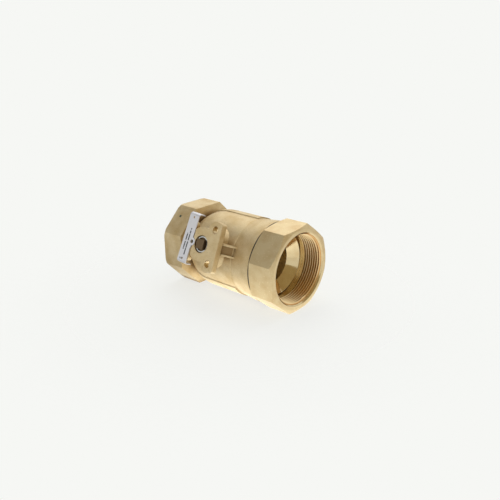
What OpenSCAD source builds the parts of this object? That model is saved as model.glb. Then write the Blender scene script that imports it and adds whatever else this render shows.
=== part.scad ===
// Control ball valve with two internally threaded ports.
// X runs along the pipe toward the screwed-in end connector, Z along the stem,
// and the origin is the middle of the ball. All sizes are in millimetres.

/* [Ports] */
// Width across the flats of both octagonal ends
across_flats = 70; // [60:0.5:90]
// Radius of the pipe thread at its root
port_r = 29.8; // [24:0.1:34]
// Width of the chamfer at each mouth
mouth_chamfer = 1.3; // [0.5:0.1:3]
// Length of thread in the end connector
connector_thread = 18; // [12:0.5:26]
// Width of the relief behind that thread
relief_width = 3.6; // [1:0.1:6]
// Depth of that relief below the root of the thread
relief_depth = 0.8; // [0.2:0.1:2]
// Width of the step where the smooth cone begins
cone_step = 3.3; // [1:0.1:6]
// Length of the smooth cone
cone_length = 7.8; // [4:0.1:12]

/* [Ball and seats] */
// Radius of the ball
ball_r = 27.5; // [20:0.1:32]
// Wall of the ball round its way, measured at the middle
ball_wall = 9.5; // [5:0.1:14]
// Step from the ball's way to the bore of the seats
seat_step = 0.6; // [0.2:0.1:2]
// Radial width of the band where a seat touches the ball
seat_land = 2.6; // [1:0.1:4]
// How far the seats stay inside the ball's radius
seat_inset = 2.5; // [1:0.1:5]
// Thickness of each seat ring
seat_thick = 6; // [3:0.1:8]
// Gap between the ball and its seats
seat_gap = 0.03; // [0.01:0.01:0.1]
// Clearance round each seat ring
seat_clearance = 0.05; // [0.02:0.01:0.2]
// Cord radius of the seat seals
seat_seal_cord = 1; // [0.6:0.05:1.5]
// Slack of every seal ring in its groove
seal_slack = 0.01; // [0.01:0.01:0.05]

/* [Body casting] */
// Length of the octagonal end of the body
body_end = 21.5; // [15:0.5:35]
// Wall between the bottom of its thread and the shoulder
floor_wall = 5; // [3:0.1:10]
// Distance from the stem axis to the flat shoulder of the octagon
shoulder = 35.5; // [32:0.5:45]
// Wall of the ball chamber
body_wall = 5.3; // [3:0.1:8]
// Room between the ball and the chamber
chamber_gap = 0.8; // [0.3:0.1:3]
// Wall of the neck between the chamber and the shoulder, round the flow disc
neck_wall = 3.5; // [3:0.1:7]
// Distance from the stem axis to the step at the end of the chamber
chamber_end = 22; // [16:0.5:28]
// Wall of the barrel round the connector's spigot
barrel_wall = 2.8; // [2:0.1:6]
// How much the barrel widens toward the joint
joint_rise = 1.8; // [0.5:0.1:4]
// Width of the straight rim at the joint
barrel_rim = 1.5; // [0.5:0.1:3]
// Distance from the stem axis to the joint face of the body
joint_face = 42.5; // [38:0.5:55]
// Chamfer on the outer corners of the body's octagon
body_chamfer = 1.2; // [0:0.1:4]
// Height of the edge of the side panel on the far side
panel_edge_far = 12; // [6:0.5:20]
// Height of the edge of the side panel on the near side
panel_edge_near = 18; // [6:0.5:20]
// How far the side panels stand out
panel_rise = 0.7; // [0.3:0.1:2]
// Gap between the side panels and the shoulder
panel_gap = 9.5; // [5:0.1:14]

/* [Actuator pad] */
// Height of the pad face above the outside of the chamber
pad_rise = 14.4; // [12:0.1:30]
// Thickness of the pad
pad_thick = 5.3; // [3:0.1:8]
// Radius of the round middle of the pad
pad_disc_r = 14.3; // [11:0.1:18]
// Distance from the stem axis to the line of the screw holes
screw_x = 11.6; // [9:0.1:16]
// Distance from the pad's middle line to each screw hole
screw_y = 14.2; // [10:0.1:20]
// Radius of the screw holes
screw_r = 2.75; // [2:0.05:3.5]
// Chamfer at the top of the screw holes
screw_chamfer = 0.5; // [0.1:0.1:1]
// Radius of the ears round the screw holes
ear_r = 6.9; // [5:0.1:9]
// Radius of the two outer corners of the pad
pad_corner = 1.8; // [1:0.1:4]
// Distance from the stem axis to the bar under the tag
tag_bar_x = 15.2; // [13:0.1:20]
// Half width of that bar
tag_bar_half = 4.4; // [3:0.1:6]
// Half length of that bar
tag_bar_reach = 17.1; // [15:0.1:26]
// Radius of the neck under the pad
neck_boss_r = 12.6; // [11:0.1:18]
// Radius of the foot where that neck meets the chamber
foot_r = 18; // [15:0.1:24]
// How far the foot reaches into the wall of the chamber
foot_depth = 6; // [4:0.1:7]
// Height of the foot above the outside of the chamber
foot_height = 3.5; // [2:0.1:6]
// Half spacing of the two webs beside the pad
web_y = 4.2; // [3:0.1:8]
// Thickness of each web
web_thick = 1.5; // [1:0.1:3]
// Distance from the stem axis to the foot of the webs
web_end = 26.2; // [22:0.1:32]
// How far the floor between the webs lies below their edges
web_recess = 1.3; // [0.5:0.1:3]

/* [Stem] */
// Width across the flats of the stem's square end
square = 8; // [7:0.1:9]
// How far the stem stands above the pad
stem_proud = 1.4; // [0.5:0.1:20]
// Radius of the stem in its bearing
stem_r = 6.4; // [5.8:0.05:8]
// Clearance round the stem in its bearing
stem_gap = 0.05; // [0.02:0.01:0.1]
// Radius of the stem's inner collar
collar_r = 9; // [8:0.1:12]
// Gap between the ball and the collar
collar_gap = 1.1; // [0.5:0.1:3]
// Thickness of the collar
collar_thick = 2.6; // [1.5:0.1:5]
// Room round the collar
collar_room = 0.6; // [0.2:0.1:2]
// Thickness of the washer on the collar
washer_thick = 1.2; // [0.5:0.1:3]
// Width of the tongue that turns the ball
tongue = 7; // [4:0.1:10]
// Depth of the tongue in the ball
tongue_depth = 6; // [3:0.1:7]
// Clearance round the tongue in its slot
tongue_gap = 0.1; // [0.05:0.01:0.3]
// Cord radius of the stem seals
stem_seal_cord = 0.85; // [0.5:0.05:1.5]
// Distance of each stem seal from the end of the bearing
stem_seal_inset = 3; // [2:0.1:4]
// Gap round the stem at the top, seen as a dark ring
counterbore_gap = 0.8; // [0.3:0.1:2]
// Depth of the counterbore in the pad
counterbore_depth = 2.4; // [1.5:0.1:5]
// Width of the light guard ring on the stem
guard_width = 0.8; // [0.4:0.1:2]
// Thickness of the guard ring
guard_thick = 0.9; // [0.5:0.1:3]
// Clearance between the guard ring and the stem
guard_gap = 0.1; // [0.05:0.01:0.3]

/* [End connector] */
// Length of the connector outside the joint
connector_out = 24.7; // [20:0.1:35]
// How far its flats are turned from those of the body, in degrees
connector_turn = 6; // [-22.5:0.5:22.5]
// Width of the seal seen at the joint
joint_seal_width = 1.2; // [0.5:0.1:2]
// How far that seal lies below the rim of the body
joint_seal_inset = 0.1; // [0:0.1:1]
// Step from the connector's nose to its screwed spigot
spigot_step = 2.1; // [1:0.1:4]
// Distance from the end of the chamber to the spigot
spigot_inset = 4; // [1:0.1:8]
// Radial clearance of the nose and the spigot in the body
connector_gap = 0.06; // [0.02:0.01:0.2]
// Depth of the turned chamfer on the front corners
front_chamfer = 4.1; // [1:0.1:6]
// Depth of the turned chamfer on the back corners
back_chamfer = 2.9; // [0.5:0.1:5]
// Slope of both chamfers, as length over depth
chamfer_slope = 0.55; // [0.3:0.05:1.5]
// Cord radius of the seal on the nose
nose_seal_cord = 0.9; // [0.5:0.05:1.4]

/* [Flow disc] */
// How far the flow disc reaches past the ball's way
disc_lap = 2.5; // [1:0.1:4]
// Clearance round the flow disc
disc_gap = 0.05; // [0.02:0.01:0.2]
// Distance from the shoulder to the outside of the ring that keeps the disc in place
disc_depth = 1.8; // [1:0.1:4]
// Thickness of the flow disc
disc_thick = 2.2; // [1:0.1:4]
// Thickness of the ring that keeps the disc in place
clip_thick = 1.2; // [0.6:0.1:2]
// How far that ring stands into its groove
clip_bite = 0.8; // [0.4:0.1:1.5]
// Width of that ring
clip_width = 2.4; // [1.5:0.1:4]
// Width of the split in that ring
clip_split = 3.2; // [1:0.1:6]

/* [Tag] */
// Width of the tag
tag_width = 10.4; // [6:0.1:16]
// Thickness of the tag's sheet
tag_thick = 0.8; // [0.3:0.1:1.5]
// Distance from the end of the bar to the start of the fold on the near side
tag_gap_near = 0.2; // [0.2:0.1:4]
// Distance from the end of the bar to the start of the fold on the far side
tag_gap_far = 4.3; // [0.2:0.1:6]
// How far the middle of the tag lies outside the middle of the bar
tag_shift = 1; // [0:0.1:2]
// How far the tag is turned on its bar, in degrees
tag_turn = -4.5; // [-8:0.5:0]
// Gap between the edge of the tag and the step of the pad
tag_step_gap = 0.5; // [0.2:0.1:2]
// How far the tag lies below the pad face
tag_sink = 0.05; // [0.02:0.01:1]
// Inner radius of the folds
tag_bend = 1.6; // [0.8:0.1:3]
// Height of the folded ends
tag_fold = 7; // [3:0.1:10]
// Radius of the end of the lobe that reaches over the pad
lobe_r = 3.4; // [2:0.1:5]
// Half width of the lobe where it leaves the tag
lobe_root = 5.6; // [3:0.1:8]
// Clearance between the lobe and the counterbore
lobe_gap = 0.3; // [0.2:0.1:2]
// Radius of the small holes near the ends of the tag
tag_hole_r = 0.9; // [0.5:0.1:2]
// Distance of those holes from the folds
tag_hole_inset = 1.6; // [1:0.1:4]
// Radius of the hole in the lobe
lobe_hole_r = 1.6; // [1:0.1:2]

/* [Hidden] */

// Small amount by which a cut passes the face it opens
over = 0.5;
fine = 96;
// Straight pieces in the rounded end of the chamber
arc_steps = 14;
// Room that a ring or a step needs beside its neighbour
side_room = 0.1;
// Small step that keeps two turned surfaces apart
small_step = 0.3;

corner_r = across_flats / 2 / cos(22.5);
mouth_r = port_r + mouth_chamfer;

way_r = ball_r - ball_wall;
disc_r = way_r + disc_lap;
disc_pocket_r = disc_r + disc_gap;
clip_r = disc_r + clip_bite;
seat_in_r = way_r + seat_step;
seat_out_r = ball_r - seat_inset;
seat_near = sqrt(ball_r * ball_r - pow(seat_in_r + seat_land, 2));
seat_far = seat_near + seat_thick;
seat_pocket_r = seat_out_r + seat_clearance;
seal_mid_r = (seat_out_r + seat_in_r) / 2;
seal_groove_half = seat_seal_cord + seat_clearance;

chamber_r = ball_r + chamber_gap;
chamber_out_r = chamber_r + body_wall;
neck_r = disc_pocket_r + neck_wall;
chamber_start = sqrt(chamber_out_r * chamber_out_r - neck_r * neck_r) - shoulder;
nose_r = chamber_r - connector_gap;
spigot_r = nose_r + spigot_step;
spigot_bore_r = spigot_r + connector_gap;
barrel_r = spigot_bore_r + barrel_wall;
joint_r = barrel_r + joint_rise;
body_face = shoulder + body_end;
thread_end = shoulder + floor_wall;

disc_outer = shoulder + disc_depth;
disc_face = disc_outer - clip_thick;
disc_seat = disc_face - disc_thick;

collar_low = ball_r + collar_gap;
collar_top = collar_low + collar_thick;
washer_top = collar_top + washer_thick;
stem_bore_r = stem_r + stem_gap;
pad_face = chamber_out_r + pad_rise;
pad_low = pad_face - pad_thick;
pad_edge = screw_x + ear_r;
counterbore_r = stem_r + counterbore_gap;
counterbore_z = pad_face - counterbore_depth;
square_z = counterbore_z + small_step + side_room;
guard_in_r = square / 2 * sqrt(2) + guard_gap;
guard_out_r = guard_in_r + guard_width;
guard_z = square_z + guard_gap;
seal_floor = stem_r - 2 * stem_seal_cord;
seal_half = stem_seal_cord + side_room;
lower_seal_z = washer_top + stem_seal_inset;
upper_seal_z = counterbore_z - stem_seal_inset;
slot_floor = ball_r - tongue_depth - tongue_gap;

connector_back = joint_face + joint_seal_width;
connector_face = connector_back + connector_out;
relief_end = connector_face - connector_thread;
relief_start = relief_end - relief_width;
relief_r = port_r + relief_depth;
cone_mouth_r = port_r - cone_step;
nose_end = seat_near + side_room;
spigot_start = chamber_end + spigot_inset;
nose_seal_x = (nose_end + spigot_start) / 2;
nose_floor = nose_r - 2 * nose_seal_cord;
joint_seal_in = spigot_bore_r + 1.2;

tag_z = pad_face - tag_sink - tag_thick;
tag_x = -tag_bar_x - tag_shift;
tag_edge = tag_x + tag_width / 2;
step_x = tag_edge + pad_disc_r * tan(-tag_turn) + tag_step_gap;
tag_outer_bend = tag_bend + tag_thick;
fold_near = tag_bar_reach + tag_gap_near;
fold_far = tag_bar_reach + tag_gap_far;
lobe_x = -counterbore_r - lobe_gap - lobe_r;

// Octagonal bar along X with a corner toward the stem
module octagon(x0, x1) {
    translate([x0, 0, 0])
        rotate([0, 90, 0])
            cylinder(h = x1 - x0, r = corner_r, $fn = 8);
}

// Solid of revolution about X from points given as [x, r]
module turned(points) {
    rotate([0, 90, 0])
        rotate_extrude($fn = fine)
            polygon([for (p = points) [p[1], p[0]]]);
}

// Round bore or bar along X
module along_x(x0, x1, r) {
    translate([x0, 0, 0])
        rotate([0, 90, 0])
            cylinder(h = x1 - x0, r = r, $fn = fine);
}

// Groove about X between two radii
module groove_x(x0, x1, r_in, r_out) {
    difference() {
        along_x(x0, x1, r_out);
        along_x(x0 - over, x1 + over, r_in);
    }
}

// Round bore or bar along Z
module along_z(z0, z1, r) {
    translate([0, 0, z0])
        cylinder(h = z1 - z0, r = r, $fn = 64);
}

// Seal ring about X, with its middle at x
module seal_x(x, r, cord) {
    translate([x, 0, 0])
        rotate([0, 90, 0])
            rotate_extrude($fn = fine)
                translate([r, 0])
                    circle(r = cord, $fn = 24);
}

// Seal ring about Z, with its middle at z
module seal_z(z, r, cord) {
    translate([0, 0, z])
        rotate_extrude($fn = fine)
            translate([r, 0])
                circle(r = cord, $fn = 24);
}

// Octagonal end of the body with its outer corners turned off
module body_octagon() {
    intersection() {
        octagon(-body_face, -shoulder);
        turned([
            [-body_face - over, 0],
            [-body_face - over, corner_r - body_chamfer - over],
            [-body_face + body_chamfer, corner_r],
            [-shoulder + over, corner_r + 1],
            [-shoulder + over, 0]
        ]);
    }
}

// Points of the chamber's outline from a place on the X axis on, grown by an amount:
// part of a sphere, then straight
function chamber_outline(start, grow) =
    let(shell_r = chamber_out_r + grow, round_angle = asin((chamber_start - start) / shell_r))
    [for (i = [0:arc_steps])
        let(a = round_angle * (1 - i / arc_steps))
        [chamber_start - shell_r * sin(a), shell_r * cos(a)]];

// Round outside of the casting between the octagon and the joint
module barrel() {
    turned(concat(
        [[-shoulder - over, 0], [-shoulder - over, neck_r]],
        chamber_outline(-shoulder, 0),
        [
            [chamber_end, chamber_out_r],
            [chamber_end + over, barrel_r],
            [joint_face - barrel_rim, joint_r],
            [joint_face, joint_r],
            [joint_face, 0]
        ]));
}

// Raised panel on one side of the chamber
module side_panel(side, edge) {
    start = -shoulder + panel_gap;
    intersection() {
        turned(concat(
            [[start, 0]],
            chamber_outline(start, panel_rise),
            [[chamber_end, chamber_out_r + panel_rise], [chamber_end, 0]]));
        translate([start, side > 0 ? 0 : -corner_r, -edge])
            cube([chamber_end - start, corner_r, 2 * edge]);
    }
}

// Round middle of the pad, cut straight where the tag lies beside it
module pad_disc() {
    difference() {
        along_z(pad_low, pad_face, pad_disc_r);
        translate([-2 * pad_disc_r, -pad_disc_r, tag_z])
            cube([2 * pad_disc_r + step_x, 2 * pad_disc_r, pad_thick]);
        lobe_outline(tag_z, pad_face + over, lobe_gap);
    }
}

// Bar with the two screw ears, square at its outer edge
module ear_bar() {
    corner_y = screw_y + ear_r - 0.8 - pad_corner;
    for (side = [-1, 1]) {
        translate([screw_x, side * screw_y, pad_low])
            cylinder(h = pad_thick, r = ear_r, $fn = 48);
        translate([pad_edge - pad_corner, side * corner_y, pad_low])
            cylinder(h = pad_thick, r = pad_corner, $fn = 32);
    }
    translate([screw_x - ear_r, -screw_y, pad_low])
        cube([2 * ear_r, 2 * screw_y, pad_thick]);
    translate([screw_x, -corner_y, pad_low])
        cube([ear_r, 2 * corner_y, pad_thick]);
    translate([screw_x, -corner_y - pad_corner, pad_low])
        cube([ear_r - pad_corner, 2 * (corner_y + pad_corner), pad_thick]);
}

// Bar with round ends that carries the tag
module tag_bar() {
    straight = tag_bar_reach - tag_bar_half;
    for (side = [-1, 1])
        translate([-tag_bar_x, side * straight, pad_low])
            cylinder(h = tag_z - pad_low, r = tag_bar_half, $fn = 48);
    translate([-tag_bar_x - tag_bar_half, -straight, pad_low])
        cube([2 * tag_bar_half, 2 * straight, tag_z - pad_low]);
}

// Two webs from under the pad down to the barrel, with a floor between them
module webs() {
    start = neck_boss_r / 2;
    low = barrel_r - 3;
    foot_z = barrel_r - 0.4;
    for (side = [-1, 1])
        translate([0, side * web_y + web_thick / 2, 0])
            rotate([90, 0, 0])
                linear_extrude(height = web_thick)
                    polygon([
                        [start, low],
                        [start, pad_low + over],
                        [pad_edge - 3, pad_low + over],
                        [web_end, foot_z],
                        [web_end, low]
                    ]);
    translate([0, web_y, 0])
        rotate([90, 0, 0])
            linear_extrude(height = 2 * web_y)
                polygon([
                    [start, low],
                    [start, pad_low + over - web_recess],
                    [pad_edge - 3 - web_recess, pad_low + over - web_recess],
                    [web_end - 1.5 * web_recess, foot_z - web_recess / 2],
                    [web_end - 1.5 * web_recess, low]
                ]);
}

// Foot, neck, pad, bars and webs that carry the actuator
module actuator_mount() {
    foot_low = chamber_out_r - foot_depth;
    foot_mid = foot_low + foot_height;
    foot_top = chamber_out_r + foot_height;
    along_z(foot_low, foot_mid, foot_r);
    translate([0, 0, foot_mid])
        cylinder(h = foot_top - foot_mid, r1 = foot_r, r2 = neck_boss_r, $fn = 64);
    along_z(foot_top - over, pad_low + over, neck_boss_r);
    pad_disc();
    ear_bar();
    tag_bar();
    webs();
}

// Port of the body, from its mouth to the pocket of the flow disc
module body_port() {
    floor_r = port_r - 2;
    turned([
        [-body_face - over, 0],
        [-body_face - over, mouth_r + over],
        [-body_face, mouth_r],
        [-body_face + mouth_chamfer, port_r],
        [-thread_end, port_r],
        [-thread_end, floor_r],
        [-disc_outer, clip_r + 0.6],
        [-disc_outer, 0]
    ]);
    along_x(-disc_outer - over, -disc_face, clip_r + 0.05);
    along_x(-disc_face - over, -disc_seat, disc_pocket_r);
}

module valve_body() {
    color([0.80, 0.71, 0.53])
        difference() {
            union() {
                body_octagon();
                barrel();
                side_panel(1, panel_edge_far);
                side_panel(-1, panel_edge_near);
                actuator_mount();
            }
            body_port();
            // way, seat pocket, seal groove and chamber
            along_x(-disc_seat - over, 0, seat_in_r);
            along_x(-seat_far, 0, seat_pocket_r);
            groove_x(-seat_far - 2 * seat_seal_cord, -seat_near,
                seal_mid_r - seal_groove_half, seal_mid_r + seal_groove_half);
            along_x(-seat_near, spigot_start + over, chamber_r);
            along_x(spigot_start, joint_face + over, spigot_bore_r);
            // stem bearing, room for the collar and the counterbore in the pad
            along_z(ball_r / 2, pad_face, stem_bore_r);
            along_z(ball_r / 2, washer_top, collar_r + collar_room);
            along_z(counterbore_z, pad_face + over, counterbore_r);
            for (side = [-1, 1])
                translate([screw_x, side * screw_y, 0]) {
                    along_z(pad_low - over, pad_face + over, screw_r);
                    translate([0, 0, pad_face - screw_chamfer])
                        cylinder(h = screw_chamfer + over, r1 = screw_r,
                            r2 = screw_r + screw_chamfer + over, $fn = 48);
                }
        }
}

module end_connector() {
    color([0.80, 0.70, 0.50])
        difference() {
            union() {
                intersection() {
                    rotate([connector_turn, 0, 0])
                        octagon(connector_back, connector_face);
                    turned([
                        [connector_back - over, 0],
                        [connector_back, corner_r - back_chamfer],
                        [connector_back + chamfer_slope * (back_chamfer + over), corner_r + over],
                        [connector_face - chamfer_slope * (front_chamfer + over), corner_r + over],
                        [connector_face, corner_r - front_chamfer],
                        [connector_face + over, 0]
                    ]);
                }
                along_x(spigot_start + small_step, connector_back + over, spigot_r);
                along_x(nose_end, spigot_start + small_step + over, nose_r);
            }
            // mouth, thread, relief, smooth cone and way
            turned([
                [connector_face + over, 0],
                [connector_face + over, mouth_r + over],
                [connector_face, mouth_r],
                [connector_face - mouth_chamfer, port_r],
                [relief_end, port_r],
                [relief_end, relief_r],
                [relief_start, relief_r],
                [relief_start, cone_mouth_r],
                [relief_start - cone_length, seat_in_r],
                [seat_far - over, seat_in_r],
                [seat_far - over, 0]
            ]);
            along_x(nose_end - over, seat_far, seat_pocket_r);
            groove_x(seat_near, seat_far + 2 * seat_seal_cord,
                seal_mid_r - seal_groove_half, seal_mid_r + seal_groove_half);
            groove_x(nose_seal_x - nose_seal_cord - side_room,
                nose_seal_x + nose_seal_cord + side_room, nose_floor, nose_r + over);
        }
}

module joint_seal() {
    color([0.22, 0.20, 0.17])
        groove_x(joint_face, connector_back, joint_seal_in, joint_r - joint_seal_inset);
}

module ball() {
    color([0.80, 0.80, 0.78])
        difference() {
            sphere(r = ball_r, $fn = fine);
            along_x(-ball_r - over, ball_r + over, way_r);
            translate([-tongue / 2 - tongue_gap, -ball_r, slot_floor])
                cube([tongue + 2 * tongue_gap, 2 * ball_r, ball_r]);
        }
}

// Seat ring on the side of the pipe axis given by side
module seat(side) {
    color([0.93, 0.92, 0.88])
        difference() {
            along_x(side > 0 ? seat_near : -seat_far, side > 0 ? seat_far : -seat_near, seat_out_r);
            along_x(-seat_far - over, seat_far + over, seat_in_r);
            sphere(r = ball_r + seat_gap, $fn = fine);
        }
}

module body_seat() {
    seat(-1);
}

module connector_seat() {
    seat(1);
}

module body_seat_seal() {
    color([0.08, 0.08, 0.08])
        seal_x(-seat_far - seat_seal_cord, seal_mid_r, seat_seal_cord - seal_slack);
}

module connector_seat_seal() {
    color([0.08, 0.08, 0.08])
        seal_x(seat_far + seat_seal_cord, seal_mid_r, seat_seal_cord - seal_slack);
}

module nose_seal() {
    color([0.08, 0.08, 0.08])
        seal_x(nose_seal_x, nose_r - nose_seal_cord, nose_seal_cord - seal_slack);
}

module stem() {
    tongue_low = ball_r - tongue_depth;
    color([0.36, 0.28, 0.20])
        difference() {
            union() {
                along_z(collar_low, collar_top, collar_r);
                along_z(collar_top - over, square_z, stem_r);
                translate([-square / 2, -square / 2, square_z - over])
                    cube([square, square, pad_face + stem_proud - square_z + over]);
                intersection() {
                    along_z(tongue_low, collar_low + over, collar_r - small_step);
                    translate([-tongue / 2, -collar_r, tongue_low])
                        cube([tongue, 2 * collar_r, collar_low - tongue_low + over]);
                }
            }
            for (z = [lower_seal_z, upper_seal_z])
                difference() {
                    along_z(z - seal_half, z + seal_half, stem_r + over);
                    along_z(z - seal_half - over, z + seal_half + over, seal_floor);
                }
        }
}

module stem_washer() {
    color([0.93, 0.92, 0.88])
        difference() {
            along_z(collar_top, washer_top, collar_r);
            along_z(collar_top - over, washer_top + over, stem_bore_r);
        }
}

module lower_stem_seal() {
    color([0.08, 0.08, 0.08])
        seal_z(lower_seal_z, stem_r - stem_seal_cord, stem_seal_cord - seal_slack);
}

module upper_stem_seal() {
    color([0.08, 0.08, 0.08])
        seal_z(upper_seal_z, stem_r - stem_seal_cord, stem_seal_cord - seal_slack);
}

module guard_ring() {
    color([0.85, 0.84, 0.80])
        difference() {
            along_z(guard_z, guard_z + guard_thick, guard_out_r);
            along_z(guard_z - over, guard_z + guard_thick + over, guard_in_r);
        }
}

module flow_disc() {
    color([0.75, 0.76, 0.76])
        difference() {
            along_x(-disc_face, -disc_seat, disc_r);
            // graded opening: a wide round end that narrows to a slot
            translate([-disc_outer, 0, 0])
                rotate([0, 90, 0])
                    linear_extrude(height = 2 * disc_thick + clip_thick) {
                        translate([0, disc_r * 0.3])
                            circle(r = disc_r * 0.52, $fn = 48);
                        polygon([
                            [-disc_r * 0.5, disc_r * 0.2],
                            [disc_r * 0.5, disc_r * 0.2],
                            [disc_r * 0.1, -disc_r * 0.76],
                            [-disc_r * 0.1, -disc_r * 0.76]
                        ]);
                    }
        }
}

module disc_clip() {
    color([0.70, 0.71, 0.72])
        difference() {
            groove_x(-disc_outer, -disc_face, clip_r - clip_width, clip_r);
            translate([-disc_outer - over, -clip_split / 2, 0])
                cube([clip_thick + 2 * over, clip_split, 2 * clip_r]);
        }
}

// Lobe of the tag, between two heights and grown by a gap
module lobe_outline(z0, z1, gap) {
    root_x = tag_x;
    translate([lobe_x, 0, z0])
        cylinder(h = z1 - z0, r = lobe_r + gap, $fn = 48);
    translate([0, 0, z0])
        linear_extrude(height = z1 - z0)
            polygon([
                [root_x, -lobe_root - gap],
                [tag_edge, -lobe_root - gap],
                [lobe_x, -lobe_r - gap],
                [lobe_x, lobe_r + gap],
                [tag_edge, lobe_root + gap],
                [root_x, lobe_root + gap]
            ]);
}

// Side view of a folded end, in the plane across the tag
module fold_outline() {
    difference() {
        circle(r = tag_outer_bend, $fn = 64);
        circle(r = tag_bend, $fn = 64);
        translate([-2 * tag_outer_bend, -2 * tag_outer_bend])
            square([2 * tag_outer_bend, 4 * tag_outer_bend]);
        translate([-tag_outer_bend, -2 * tag_outer_bend])
            square([3 * tag_outer_bend, 2 * tag_outer_bend]);
    }
    translate([tag_bend, tag_outer_bend - tag_fold])
        square([tag_thick, tag_fold - tag_outer_bend + over / 20]);
}

// Folded end of the tag, turned to one side and this far from the middle
module tag_end(turn, fold_y) {
    translate([0, 0, tag_z + tag_thick - tag_outer_bend])
        rotate([0, 0, turn])
            translate([-tag_width / 2, fold_y, 0])
                rotate([90, 0, 90])
                    linear_extrude(height = tag_width)
                        fold_outline();
}

// Strip of the tag with both ends folded down, lying along Y
module tag_strip() {
    difference() {
        translate([-tag_width / 2, -fold_near, tag_z])
            cube([tag_width, fold_near + fold_far, tag_thick]);
        for (y = [tag_hole_inset - fold_near, fold_far - tag_hole_inset])
            translate([0, y, 0])
                along_z(tag_z - over, tag_z + tag_thick + over, tag_hole_r);
    }
    tag_end(0, fold_far);
    tag_end(180, fold_near);
}

module tag() {
    color([0.80, 0.79, 0.78])
        difference() {
            union() {
                translate([tag_x, 0, 0])
                    rotate([0, 0, tag_turn])
                        tag_strip();
                lobe_outline(tag_z, tag_z + tag_thick, 0);
            }
            translate([lobe_x, 0, 0])
                along_z(tag_z - over, tag_z + tag_thick + over, lobe_hole_r);
        }
}

valve_body();
end_connector();
joint_seal();
ball();
body_seat();
connector_seat();
body_seat_seal();
connector_seat_seal();
nose_seal();
stem();
stem_washer();
lower_stem_seal();
upper_stem_seal();
guard_ring();
flow_disc();
disc_clip();
tag();
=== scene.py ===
# %% [markdown]
# # A control ball valve, dressed for a product photograph
# The solids come from the CAD file: two threaded octagonal ends, a round body, a pad for the
# actuator, the stem and all that works inside. This lesson adds what the solids leave out,
# the pipe threads, and gives every piece the surface that its maker gave it.

# %% Load the solids
import math

import bmesh
import bpy
from mathutils import Matrix, Vector


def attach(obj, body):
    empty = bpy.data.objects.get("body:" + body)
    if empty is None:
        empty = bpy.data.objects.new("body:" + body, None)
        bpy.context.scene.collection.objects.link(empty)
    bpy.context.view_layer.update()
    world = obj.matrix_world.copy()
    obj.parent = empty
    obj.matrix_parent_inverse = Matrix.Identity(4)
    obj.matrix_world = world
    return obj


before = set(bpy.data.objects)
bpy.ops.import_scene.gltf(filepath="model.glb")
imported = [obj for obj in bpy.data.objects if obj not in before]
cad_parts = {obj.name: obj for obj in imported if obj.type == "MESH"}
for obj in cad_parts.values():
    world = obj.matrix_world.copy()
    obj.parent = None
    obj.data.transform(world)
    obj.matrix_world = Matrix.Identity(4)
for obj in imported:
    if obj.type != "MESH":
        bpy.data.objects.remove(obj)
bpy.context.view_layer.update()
MM = 0.001

# %% [markdown]
# ## The camera
# The photograph was taken from above the mouth, on the side of the stem. A camera can be set by eye,
# but here it comes from a fit to the corners of both octagons, the joint and the mouth. The shift
# stands for the small crop of the picture.

# %% Camera
camera = bpy.data.objects.new("camera", bpy.data.cameras.new("camera"))
bpy.context.scene.collection.objects.link(camera)
bpy.context.scene.camera = camera

to_right = Vector((0.73040941, 0.24523672, -0.63746455))
to_top = Vector((-0.22103823, 0.96796365, 0.11911538))
to_back = Vector((0.64625397, 0.05390104, 0.76121645))
camera.matrix_world = Matrix.Translation((0.36324772, 0.0302968, 0.42786605)) @ Matrix(
    (to_right, to_top, to_back)).transposed().to_4x4()

PICTURE = 500
camera.data.sensor_width = 36
camera.data.sensor_fit = "HORIZONTAL"
camera.data.lens = 643.7267 * 36 / PICTURE
camera.data.shift_x = 11.69 / PICTURE
camera.data.shift_y = 1.08 / PICTURE
camera.data.clip_start = 0.01
print("lens:", round(camera.data.lens, 1), "mm")

# %% [markdown]
# ## Helpers for materials
# A material is a small graph of nodes. One function adds a node, sets its values and links its
# inputs, so that each finish below reads as a list of what it is made of. Colours are written as
# sRGB hex values, as a picture program shows them, and Blender wants them linear.

# %% Node helpers
def linear(hex_colour):
    """An sRGB hex colour as the linear RGBA that Blender's sockets expect."""
    channels = [int(hex_colour[i:i + 2], 16) / 255 for i in (0, 2, 4)]
    return [c / 12.92 if c <= 0.04045 else ((c + 0.055) / 1.055) ** 2.4 for c in channels] + [1.0]


def add(tree, kind, inputs=None, **settings):
    """Add a node of this kind. An input that is a socket is linked, any other value is set."""
    node = tree.nodes.new(kind)
    for name, value in settings.items():
        setattr(node, name, value)
    for name, value in (inputs or {}).items():
        if isinstance(value, bpy.types.NodeSocket):
            tree.links.new(value, node.inputs[name])
        else:
            node.inputs[name].default_value = value
    return node


def new_material(name):
    """An empty material, its node tree, and the socket with the object's own coordinates."""
    material = bpy.data.materials.new(name)
    material.use_nodes = True
    tree = material.node_tree
    tree.nodes.clear()
    return material, tree, add(tree, "ShaderNodeTexCoord").outputs["Object"]


def finish_surface(tree, **inputs):
    """The last two nodes of a plain surface."""
    named = {key.replace("_", " "): value for key, value in inputs.items()}
    shader = add(tree, "ShaderNodeBsdfPrincipled", named)
    add(tree, "ShaderNodeOutputMaterial", {"Surface": shader.outputs["BSDF"]})


def times(tree, a, b):
    """The product of two values in a material."""
    return add(tree, "ShaderNodeMath", {0: a, 1: b}, operation="MULTIPLY").outputs["Value"]


def within(tree, value, low, high):
    """One inside a range of millimetres, nought outside."""
    middle = (low + high) / 2 * MM
    half = (high - low) / 2 * MM
    return add(tree, "ShaderNodeMath", {0: value, 1: middle, 2: half},
               operation="COMPARE").outputs["Value"]


def per_mm(size):
    """The scale of a pattern whose features are this many millimetres apart."""
    return 1 / (size * MM)


print("black and white in linear light:", linear("000000")[0], linear("FFFFFF")[0])

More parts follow.
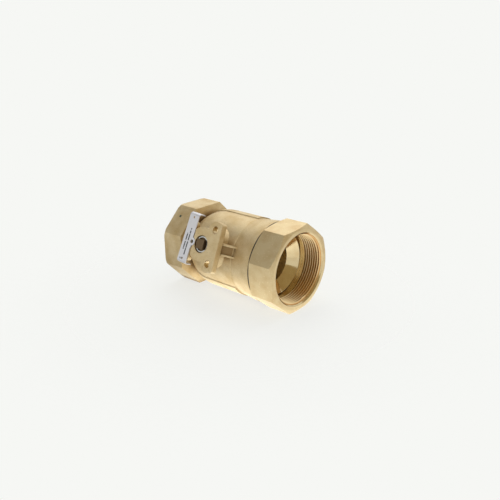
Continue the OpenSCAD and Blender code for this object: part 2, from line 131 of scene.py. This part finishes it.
# %% [markdown]
# ## Blasted brass casting
# The body is cast in a sand or shell mould and then blasted, which leaves a dull, finely pitted skin
# with brown stains. A photograph of brass could be laid over it, but a pattern made of noise fits
# any side without a seam. Noises of different size do it: stains some 12 mm across, the blasted
# grain at 0.5 mm, pits about 1.3 mm apart and, where the sand left a deeper one, dark specks. The
# real grain is finer than 0.3 mm and is drawn coarser here so that it shows. The inspector's dot of
# dark green paint on the octagon, and a dark spot of painted shade under the hole of the tag's lobe,
# which stands for the dark of that hole, are distances from one point each, so they need no picture
# either. Painted shade also darkens the skin toward brown in its corners and between the two webs.

# %% Blasted brass
def blasted_brass(name, bright, stain, edge_radius):
    material, tree, place = new_material(name)
    stains = add(tree, "ShaderNodeTexNoise", {"Vector": place, "Scale": per_mm(12), "Detail": 5.0})
    spread = add(tree, "ShaderNodeMapRange",
                 {"Value": stains.outputs["Fac"], "From Min": 0.35, "From Max": 0.75})
    grain = add(tree, "ShaderNodeTexNoise", {"Vector": place, "Scale": per_mm(0.5), "Detail": 2.0})
    pits = add(tree, "ShaderNodeTexVoronoi", {"Vector": place, "Scale": per_mm(1.3)})
    pit = add(tree, "ShaderNodeMapRange",
              {"Value": pits.outputs["Distance"], "From Min": 0.05, "From Max": 0.26})
    skin = add(tree, "ShaderNodeMix", {
        "Factor": spread.outputs["Result"], "A": linear(bright), "B": linear(stain)},
        data_type="RGBA")
    grained = add(tree, "ShaderNodeMix", {
        "Factor": grain.outputs["Fac"], "A": linear("FFFFFF"), "B": linear("C9BFA8")},
        data_type="RGBA")
    coloured = add(tree, "ShaderNodeMix", {
        "Factor": 0.7, "A": skin.outputs["Result"], "B": grained.outputs["Result"]},
        data_type="RGBA", blend_type="MULTIPLY")
    specks = add(tree, "ShaderNodeTexNoise", {"Vector": place, "Scale": per_mm(0.9), "Detail": 3.0})
    speck = add(tree, "ShaderNodeMapRange",
                {"Value": specks.outputs["Fac"], "From Min": 0.62, "From Max": 0.76, "To Max": 0.55})
    specked = add(tree, "ShaderNodeMix", {
        "Factor": speck.outputs["Result"], "A": coloured.outputs["Result"], "B": linear("6B5635")},
        data_type="RGBA")
    # the paint dot, and a dark spot of painted shade under the hole of the tag's lobe
    from_dots = [add(tree, "ShaderNodeVectorMath", {0: place, 1: Vector(centre) * MM},
                     operation="DISTANCE").outputs["Value"] for centre in (PAINT_DOT, HOLE_SHADE_SPOT)]
    nearest = add(tree, "ShaderNodeMath", {0: from_dots[0], 1: from_dots[1]}, operation="MINIMUM")
    dot = add(tree, "ShaderNodeMapRange", {
        "Value": nearest.outputs["Value"], "From Min": 1.0 * MM, "From Max": 1.4 * MM,
        "To Min": 1.0, "To Max": 0.0})
    painted = add(tree, "ShaderNodeMix", {
        "Factor": dot.outputs["Result"], "A": specked.outputs["Result"], "B": linear("1F3B2C")},
        data_type="RGBA")
    metal = add(tree, "ShaderNodeMapRange", {"Value": dot.outputs["Result"], "To Min": 0.9, "To Max": 0.0})
    height = add(tree, "ShaderNodeMath", {0: grain.outputs["Fac"], 1: pit.outputs["Result"]},
                 operation="ADD")
    soft_edge = add(tree, "ShaderNodeBevel", {"Radius": edge_radius * MM}, samples=6)
    bump = add(tree, "ShaderNodeBump", {
        "Strength": 0.6, "Distance": 0.12 * MM, "Height": height.outputs["Value"],
        "Normal": soft_edge.outputs["Normal"]})
    # the two screw holes are drilled after blasting, so their walls are clean and smooth
    split = add(tree, "ShaderNodeSeparateXYZ", {"Vector": place})
    either_side = add(tree, "ShaderNodeMath", {0: split.outputs["Y"]}, operation="ABSOLUTE")
    plan = add(tree, "ShaderNodeCombineXYZ",
               {"X": split.outputs["X"], "Y": either_side.outputs["Value"]})
    from_screw = add(tree, "ShaderNodeVectorMath", {
        0: plan.outputs["Vector"], 1: Vector(SCREW_HOLE) * MM}, operation="DISTANCE")
    beside_hole = add(tree, "ShaderNodeMapRange", {
        "Value": from_screw.outputs["Value"], "From Min": 3.2 * MM, "From Max": 3.4 * MM})
    below_pad = add(tree, "ShaderNodeMapRange", {
        "Value": split.outputs["Z"], "From Min": 42.0 * MM, "From Max": 42.4 * MM,
        "To Min": 1.0, "To Max": 0.0})
    undrilled = add(tree, "ShaderNodeMath", {
        0: beside_hole.outputs["Result"], 1: below_pad.outputs["Result"]}, operation="MAXIMUM")
    # painted shade: where ambient occlusion finds a corner, the colour darkens toward brown, except on the
    # drilled walls
    corner = add(tree, "ShaderNodeAmbientOcclusion", {"Distance": 6 * MM}, samples=8)
    painted_shade = add(tree, "ShaderNodeMapRange", {
        "Value": corner.outputs["AO"], "From Min": 0.25, "From Max": 0.95,
        "To Min": 0.85, "To Max": 0.0})
    painted_shade = times(tree, painted_shade.outputs["Result"], undrilled.outputs["Value"])
    # painted shade: the box between the two webs is darkened toward brown as well, for the shade of that
    # recess
    between_webs = times(tree, within(tree, split.outputs["Y"], *WEB_GAP_Y), times(
        tree, within(tree, split.outputs["X"], *WEB_GAP_X), within(tree, split.outputs["Z"], *WEB_GAP_Z)))
    painted_shade = add(tree, "ShaderNodeMath", {0: painted_shade, 1: times(tree, between_webs, 0.75)},
               operation="MAXIMUM").outputs["Value"]
    shaded_skin = add(tree, "ShaderNodeMix", {
        "Factor": painted_shade, "A": painted.outputs["Result"], "B": linear("7A5828")},
        data_type="RGBA")
    roughness = add(tree, "ShaderNodeMapRange", {
        "Value": undrilled.outputs["Value"], "To Min": 0.25, "To Max": 0.56})
    finish_surface(tree, Base_Color=shaded_skin.outputs["Result"], Metallic=metal.outputs["Result"],
                   Roughness=roughness.outputs["Result"], Normal=bump.outputs["Normal"])
    return material


PAINT_DOT = (-48.85, 17.1, 30.8)
# where the painted shade under the hole of the tag's lobe lies
HOLE_SHADE_SPOT = (-10.9, 0, 47.1)
SCREW_HOLE = (11.6, 14.2, 0)
# the box between the webs that gets painted shade
WEB_GAP_X = (12.5, 26.5)
WEB_GAP_Y = (-3.3, 3.3)
WEB_GAP_Z = (33.6, 42.6)
cast_brass = blasted_brass("blasted_cast_brass", "EAD8B2", "D4BA8A", 0.8)
print("material:", cast_brass.name)

# %% [markdown]
# ## Turned brass
# The end connector is cut from bar: its flats are milled and its mouth, thread and cone are turned.
# A cutter leaves fine rings round the axis of the pipe. They follow the distance from that axis, so
# the pattern is a noise read along X and the radius only. The real feed marks are near 0.1 mm and
# are drawn at 0.45 mm so that they show.

# %% Turned brass
def turned_brass(name, bright, stain, edge_radius, roughness):
    material, tree, place = new_material(name)
    split = add(tree, "ShaderNodeSeparateXYZ", {"Vector": place})
    across = add(tree, "ShaderNodeCombineXYZ", {"Y": split.outputs["Y"], "Z": split.outputs["Z"]})
    radius = add(tree, "ShaderNodeVectorMath", {0: across.outputs["Vector"]}, operation="LENGTH")
    ring_place = add(tree, "ShaderNodeCombineXYZ",
                     {"X": split.outputs["X"], "Y": radius.outputs["Value"]})
    rings = add(tree, "ShaderNodeTexNoise",
                {"Vector": ring_place.outputs["Vector"], "Scale": per_mm(0.45), "Detail": 2.0})
    stains = add(tree, "ShaderNodeTexNoise", {"Vector": place, "Scale": per_mm(9), "Detail": 3.0})
    spread = add(tree, "ShaderNodeMapRange",
                 {"Value": stains.outputs["Fac"], "From Min": 0.4, "From Max": 0.75})
    skin = add(tree, "ShaderNodeMix", {
        "Factor": spread.outputs["Result"], "A": linear(bright), "B": linear(stain)},
        data_type="RGBA")
    grain = add(tree, "ShaderNodeTexNoise", {"Vector": place, "Scale": per_mm(0.6), "Detail": 2.0})
    height = add(tree, "ShaderNodeMath", {0: rings.outputs["Fac"], 1: grain.outputs["Fac"]},
                 operation="ADD")
    soft_edge = add(tree, "ShaderNodeBevel", {"Radius": edge_radius * MM}, samples=6)
    # inside the mouth the tool leaves a smoother face than on the flats
    outside = add(tree, "ShaderNodeMapRange", {
        "Value": radius.outputs["Value"], "From Min": 30 * MM, "From Max": 32 * MM})
    uneven = add(tree, "ShaderNodeMapRange", {
        "Value": outside.outputs["Result"], "To Min": 0.07, "To Max": 0.4})
    # painted glints: small bright specks on the outer skin, which stand for its sparkle
    glint_noise = add(tree, "ShaderNodeTexNoise", {"Vector": place, "Scale": per_mm(1.4), "Detail": 2.0})
    glint = add(tree, "ShaderNodeMapRange", {
        "Value": glint_noise.outputs["Fac"], "From Min": 0.62, "From Max": 0.78, "To Max": 0.6})
    glint = times(tree, glint.outputs["Result"], outside.outputs["Result"])
    glinted = add(tree, "ShaderNodeMix", {
        "Factor": glint, "A": skin.outputs["Result"], "B": linear("F8E6BE")}, data_type="RGBA")
    gloss = add(tree, "ShaderNodeMapRange", {
        "Value": outside.outputs["Result"], "To Min": 0.2 * roughness, "To Max": roughness})
    bump = add(tree, "ShaderNodeBump", {
        "Strength": uneven.outputs["Result"], "Distance": 0.05 * MM,
        "Height": height.outputs["Value"], "Normal": soft_edge.outputs["Normal"]})
    finish_surface(tree, Base_Color=glinted.outputs["Result"], Metallic=0.95,
                   Roughness=gloss.outputs["Result"], Normal=bump.outputs["Normal"])
    return material


milled_brass = turned_brass("milled_brass", "D6C298", "CBB184", 0.4, 0.5)
print("material:", milled_brass.name)

# %% [markdown]
# ## Plain finishes
# The inner pieces and the small outer ones each have one even surface: a plated ball, plastic seats,
# rubber rings, a dark steel stem and stainless steel rings. A faint noise in the roughness keeps
# them from looking like a screen of one colour. The ball is plated before its way is bored, so the
# way shows bare brass, which is the warm colour at the bottom of the mouth.

# %% Plain finishes
def bored_plate(name, plate, brass, bore_r):
    """Bright plate on the outside, and the bare brass in the way that is bored along X."""
    material, tree, place = new_material(name)
    split = add(tree, "ShaderNodeSeparateXYZ", {"Vector": place})
    across = add(tree, "ShaderNodeCombineXYZ", {"Y": split.outputs["Y"], "Z": split.outputs["Z"]})
    radius = add(tree, "ShaderNodeVectorMath", {0: across.outputs["Vector"]}, operation="LENGTH")
    plated = add(tree, "ShaderNodeMapRange", {
        "Value": radius.outputs["Value"], "From Min": (bore_r + 0.1) * MM,
        "From Max": (bore_r + 0.3) * MM})
    colour = add(tree, "ShaderNodeMix", {
        "Factor": plated.outputs["Result"], "A": linear(brass), "B": linear(plate)},
        data_type="RGBA")
    sheen = add(tree, "ShaderNodeMapRange", {
        "Value": plated.outputs["Result"], "To Min": 0.45, "To Max": 0.14})
    finish_surface(tree, Base_Color=colour.outputs["Result"], Metallic=0.9,
                   Roughness=sheen.outputs["Result"])
    return material


def plain_finish(name, colour, metallic, roughness, grain_mm, ior=1.5):
    material, tree, place = new_material(name)
    grain = add(tree, "ShaderNodeTexNoise",
                {"Vector": place, "Scale": per_mm(grain_mm), "Detail": 2.0})
    sheen = add(tree, "ShaderNodeMapRange", {
        "Value": grain.outputs["Fac"], "To Min": roughness - 0.06, "To Max": roughness + 0.06})
    finish_surface(tree, Base_Color=linear(colour), Metallic=metallic, IOR=ior,
                   Roughness=sheen.outputs["Result"])
    return material


BALL_WAY_R = 18
chrome_plate = bored_plate("chrome_plate", "D2D2CE", "EBD6A6", BALL_WAY_R)
ptfe = plain_finish("ptfe", "EEEDE6", 0.0, 0.42, 1, ior=1.35)
nitrile_rubber = plain_finish("nitrile_rubber", "1B1B1B", 0.0, 0.6, 0.8, ior=1.52)
joint_sealant = plain_finish("joint_sealant", "1C1A16", 0.0, 0.6, 0.8, ior=1.5)
# the stem is a plain dark brown
dark_brown_steel = plain_finish("dark_brown_steel", "6E5A40", 0.8, 0.45, 0.8)
spring_steel = plain_finish("spring_steel", "C9C9C6", 1.0, 0.3, 0.6)
print("materials:", len(bpy.data.materials))

# %% [markdown]
# ## The printed tag
# The tag is a strip of thin aluminium with two lines of print. The print isn't copied: rows of plain
# dashes stand in its place. They could be cut from a picture, but two bands across the tag, broken
# by a noise along it, need none.

# %% Printed aluminium
def printed_aluminium(name):
    material, tree, place = new_material(name)
    split = add(tree, "ShaderNodeSeparateXYZ", {"Vector": place})
    along = split.outputs["Y"]
    # the rows run along the tag, which is turned a little on its bar
    lean = add(tree, "ShaderNodeMath", {0: along, 1: -math.tan(math.radians(4.5)), 2: split.outputs["X"]},
               operation="MULTIPLY_ADD").outputs["Value"]
    rows = add(tree, "ShaderNodeMath", {
        0: times(tree, within(tree, lean, -15.9, -14.7), within(tree, along, -12.5, 10.5)),
        1: times(tree, within(tree, lean, -18.7, -17.5), within(tree, along, -8.0, 6.0))},
        operation="ADD").outputs["Value"]
    words = add(tree, "ShaderNodeTexNoise", {"W": along, "Scale": per_mm(1.6), "Detail": 1.0},
                noise_dimensions="1D")
    dashes = add(tree, "ShaderNodeMath", {0: words.outputs["Fac"], 1: 0.4},
                 operation="GREATER_THAN").outputs["Value"]
    end_mark = times(tree, within(tree, lean, -19.6, -16.4), within(tree, along, -16.6, -15.2))
    ink = add(tree, "ShaderNodeMath", {
        0: times(tree, end_mark, 0.5), 1: times(tree, times(tree, rows, dashes), 0.95)},
        operation="ADD").outputs["Value"]
    colour = add(tree, "ShaderNodeMix", {"Factor": ink, "A": linear("DAD9DC"), "B": linear("2C2C30")},
                 data_type="RGBA")
    grain = add(tree, "ShaderNodeTexNoise", {"Vector": place, "Scale": per_mm(0.5)})
    bump = add(tree, "ShaderNodeBump",
               {"Strength": 0.1, "Distance": 0.03 * MM, "Height": grain.outputs["Fac"]})
    finish_surface(tree, Base_Color=colour.outputs["Result"], Metallic=0.45, Roughness=0.45,
                   Normal=bump.outputs["Normal"])
    return material


tag_aluminium = printed_aluminium("printed_aluminium")
print("material:", tag_aluminium.name)

# %% [markdown]
# ## Give each CAD node its finish
# A node's shape is right as it is, so it only gets its material, by the name of its piece.

# %% Materials of the CAD nodes
node_finish = {
    "valve_body": cast_brass,
    "end_connector": milled_brass,
    "joint_seal": joint_sealant,
    "ball": chrome_plate,
    "body_seat": ptfe,
    "connector_seat": ptfe,
    "stem_washer": ptfe,
    "body_seat_seal": nitrile_rubber,
    "connector_seat_seal": nitrile_rubber,
    "nose_seal": nitrile_rubber,
    "lower_stem_seal": nitrile_rubber,
    "upper_stem_seal": nitrile_rubber,
    "stem": dark_brown_steel,
    "guard_ring": spring_steel,
    "flow_disc": spring_steel,
    "disc_clip": spring_steel,
    "tag": tag_aluminium,
}
for node, material in node_finish.items():
    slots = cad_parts[node].data.materials
    slots.clear()
    slots.append(material)
print("dressed nodes:", len(node_finish))

# %% [markdown]
# ## The pipe threads
# Each port holds a 2 inch pipe thread: 11 turns to the inch, so 2.309 mm from turn to turn, and
# 1.48 mm deep. The bore of the solid lies at the root of the thread, and the ridge that stands in
# from it is missing. It could be faked with a bump, but its turns show at the mouth's edge, so it is
# real: one cross-section is spun round the pipe axis while it moves along it.

# %% One ridge as a helix
PITCH = 25.4 / 11
ROOT_R = 29.8
CREST_R = 28.36
STEPS = 96


def thread_ridge(name, start, end, mouth_at_end):
    """The ridge of a thread between two places on the X axis, in millimetres."""
    bm = bmesh.new()
    half_crest = 0.16
    profile = [(-0.44 * PITCH, ROOT_R + 0.06), (-half_crest, CREST_R), (half_crest, CREST_R),
               (0.44 * PITCH, ROOT_R + 0.06)]
    corners = [bm.verts.new(((start - PITCH + x) * MM, r * MM, 0)) for x, r in profile]
    section = bm.faces.new(corners)
    turns = (end - start) / PITCH + 2
    steps = round(turns * STEPS)
    bmesh.ops.spin(bm, geom=[section] + section.edges[:] + section.verts[:], cent=(0, 0, 0),
                   axis=(1, 0, 0), dvec=(PITCH / STEPS * MM, 0, 0), angle=math.tau * steps / STEPS,
                   steps=steps, use_merge=False)
    bmesh.ops.recalc_face_normals(bm, faces=bm.faces[:])
    for place, outward in ((start, -1), (end, 1)):
        cut = bmesh.ops.bisect_plane(bm, geom=bm.verts[:] + bm.edges[:] + bm.faces[:],
                                     plane_co=(place * MM, 0, 0), plane_no=(outward, 0, 0),
                                     clear_outer=True, dist=1e-7)
        rim = [e for e in cut["geom_cut"] if isinstance(e, bmesh.types.BMEdge)]
        bmesh.ops.holes_fill(bm, edges=rim, sides=0)
    mouth, inward = (end, 1) if mouth_at_end else (start, -1)
    for vert in bm.verts:
        radius = math.hypot(vert.co.y, vert.co.z)
        chamfer_r = ROOT_R * MM - inward * (mouth * MM - vert.co.x)
        if radius < chamfer_r and chamfer_r > CREST_R * MM:
            grow = min(chamfer_r, ROOT_R * MM) / radius
            vert.co.y *= grow
            vert.co.z *= grow
    bmesh.ops.recalc_face_normals(bm, faces=bm.faces[:])
    mesh = bpy.data.meshes.new(name)
    bm.to_mesh(mesh)
    bm.free()
    ridge = bpy.data.objects.new(name, mesh)
    bpy.context.scene.collection.objects.link(ridge)
    print(name, "turns:", round(turns, 1), "faces:", len(mesh.polygons))
    return ridge


connector_thread = thread_ridge("connector_thread", 50.42, 67.1, True)
body_thread = thread_ridge("body_thread", -55.7, -40.52, False)

# %% [markdown]
# ## Brass of the threads
# The tap leaves smooth crests. Their bright colour is a painted highlight, and the brown of the roots
# between the turns is painted shade and a painted reflection of the brass around them. A colour that
# follows the distance from the pipe axis gives both, and needs no picture.

# %% Finish of the threads
def tapped_thread(name, crest, root):
    material, tree, place = new_material(name)
    split = add(tree, "ShaderNodeSeparateXYZ", {"Vector": place})
    across = add(tree, "ShaderNodeCombineXYZ", {"Y": split.outputs["Y"], "Z": split.outputs["Z"]})
    radius = add(tree, "ShaderNodeVectorMath", {0: across.outputs["Vector"]}, operation="LENGTH")
    # painted highlight on the crests, painted shade and reflection in the roots
    depth = add(tree, "ShaderNodeMapRange", {
        "Value": radius.outputs["Value"], "From Min": (CREST_R + 0.15) * MM,
        "From Max": (ROOT_R - 0.2) * MM})
    colour = add(tree, "ShaderNodeMix", {
        "Factor": depth.outputs["Result"], "A": linear(crest), "B": linear(root)},
        data_type="RGBA")
    finish_surface(tree, Base_Color=colour.outputs["Result"], Metallic=0.88, Roughness=0.29)
    return material


tapped_brass = tapped_thread("tapped_brass", "F6DCA8", "C48E4C")
for ridge, slot in ((connector_thread, "turned_brass"), (body_thread, "cast_brass")):
    ridge.data.materials.append(tapped_brass)
    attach(ridge, "housing")

# %% [markdown]
# ## The table
# The valve lies on a flat of its body and on a corner of its connector, which stands turned a few
# degrees, so the table slopes a little against the pipe axis. The table is white and lit from below as
# well, as in a light tent: the flats under the valve are bright and its shadow is faint. It is a plain
# plane under the lowest flat, part white paint and part glow. The glow is strongest under the valve
# and weak toward the photographer, whose dark side the front flats reflect. The plane fades out away
# from the valve, where the white background takes over, so that no edge of the table shows, and its
# back is clear, so that the valve can be looked at from below.

# %% Table
UP = Vector((0, math.cos(math.radians(22.5)), math.sin(math.radians(22.5))))
# what touches the table, as [place along X, distance below the pipe axis]
BODY_FOOT = (-57, 35)
CONNECTOR_FOOT = (66, 36.35)
slope = (CONNECTOR_FOOT[1] - BODY_FOOT[1]) / (CONNECTOR_FOOT[0] - BODY_FOOT[0])
below_axis = BODY_FOOT[1] - slope * BODY_FOOT[0]
table_normal = UP + Vector((slope, 0, 0))
table_mesh = bpy.data.meshes.new("table")
bm = bmesh.new()
bmesh.ops.create_grid(bm, x_segments=1, y_segments=1, size=0.6)
bm.transform(Matrix.Translation(-UP * below_axis * MM)
             @ table_normal.to_track_quat("Z", "Y").to_matrix().to_4x4())
bm.to_mesh(table_mesh)
bm.free()
table = bpy.data.objects.new("table", table_mesh)
bpy.context.scene.collection.objects.link(table)

white_paint, tree, place = new_material("white_matte_table")
distance = add(tree, "ShaderNodeVectorMath", {0: place}, operation="LENGTH")
fade = add(tree, "ShaderNodeMapRange",
           {"Value": distance.outputs["Value"], "From Min": 0.09, "From Max": 0.24},
           interpolation_type="SMOOTHSTEP")
paint = add(tree, "ShaderNodeBsdfDiffuse", {"Color": linear("F4F5F3")})
by_camera = add(tree, "ShaderNodeLightPath")
below = add(tree, "ShaderNodeMapRange", {
    "Value": distance.outputs["Value"], "From Min": 0.045, "From Max": 0.1,
    "To Min": 2.7, "To Max": 1.4})
toward_front = add(tree, "ShaderNodeVectorMath", {0: place, 1: (-0.6, 0, 0.8)},
                   operation="DOT_PRODUCT")
front = add(tree, "ShaderNodeMapRange", {
    "Value": toward_front.outputs["Value"], "From Min": 0.01, "From Max": 0.07,
    "To Min": 1.0, "To Max": 0.2})
glow = add(tree, "ShaderNodeMix", {
    "Factor": by_camera.outputs["Is Camera Ray"],
    "A": times(tree, below.outputs["Result"], front.outputs["Result"]), "B": 1.0})
lit = add(tree, "ShaderNodeEmission",
          {"Color": linear("F6F7F4"), "Strength": glow.outputs["Result"]})
table_skin = add(tree, "ShaderNodeMixShader",
                 {0: 0.75, 1: paint.outputs["BSDF"], 2: lit.outputs["Emission"]})
clear = add(tree, "ShaderNodeBsdfTransparent")
side = add(tree, "ShaderNodeNewGeometry")
unseen = add(tree, "ShaderNodeMath",
             {0: fade.outputs["Result"], 1: side.outputs["Backfacing"]}, operation="MAXIMUM")
mixed = add(tree, "ShaderNodeMixShader",
            {0: unseen.outputs["Value"], 1: table_skin.outputs["Shader"], 2: clear.outputs["BSDF"]})
add(tree, "ShaderNodeOutputMaterial", {"Surface": mixed.outputs["Shader"]})
table_mesh.materials.append(white_paint)
print("table below the middle of the valve by", round(below_axis, 2), "mm")

# %% [markdown]
# ## Light
# The upper flats are bright and the ones that face the camera are darker, so the light comes from
# above the table, from one big soft box. A dark card on the camera's side gives the brass
# something to reflect, as photographers do with metal, and a warm grey one before the mouth stands
# for the room that the lower half of its cone reflects. The world fills in, and shows as the white
# background.

# %% Soft box, cards and background
def card(name, centre, size, colour, strength):
    """A square card that faces the valve and that the camera doesn't see."""
    mesh = bpy.data.meshes.new(name)
    bm = bmesh.new()
    bmesh.ops.create_grid(bm, x_segments=1, y_segments=1, size=size / 2)
    bm.transform(Matrix.Translation(centre) @ (-centre).to_track_quat("Z", "Y").to_matrix().to_4x4())
    bm.to_mesh(mesh)
    bm.free()
    obj = bpy.data.objects.new(name, mesh)
    bpy.context.scene.collection.objects.link(obj)
    material, tree, _ = new_material(name)
    glow = add(tree, "ShaderNodeEmission", {"Color": linear(colour), "Strength": strength})
    add(tree, "ShaderNodeOutputMaterial", {"Surface": glow.outputs["Emission"]})
    mesh.materials.append(material)
    obj.visible_camera = False
    return obj


soft_box = card("soft_box", UP * 0.8 + Vector((-0.1, 0, -0.35)), 0.8, "FFFFFF", 2.0)
dark_card = card("dark_card", Vector((-0.45, 0.42, 0.5)), 0.6, "3C3830", 1.0)
warm_card = card("warm_card", Vector((0.62, 0.46, 0.2)), 1.0, "A8966E", 1.0)
for shade in (dark_card, warm_card):
    shade.visible_diffuse = False

world = bpy.data.worlds.new("studio")
bpy.context.scene.world = world
world.use_nodes = True
tree = world.node_tree
tree.nodes.clear()
path = add(tree, "ShaderNodeLightPath")
seen = add(tree, "ShaderNodeMath",
           {0: path.outputs["Is Camera Ray"], 1: path.outputs["Is Glossy Ray"]}, operation="MAXIMUM")
seen = add(tree, "ShaderNodeMath",
           {0: seen.outputs["Value"], 1: path.outputs["Is Transmission Ray"]}, operation="MAXIMUM")
fill = add(tree, "ShaderNodeBackground", {"Color": linear("FFFFFF"), "Strength": 0.7})
shown = add(tree, "ShaderNodeBackground", {"Color": linear("F6F7F4"), "Strength": 1.0})
mixed = add(tree, "ShaderNodeMixShader",
            {0: seen.outputs["Value"], 1: fill.outputs["Background"], 2: shown.outputs["Background"]})
add(tree, "ShaderNodeOutputWorld", {"Surface": mixed.outputs["Shader"]})
bpy.context.scene.view_settings.view_transform = "Standard"
print("lights set")

# %% [markdown]
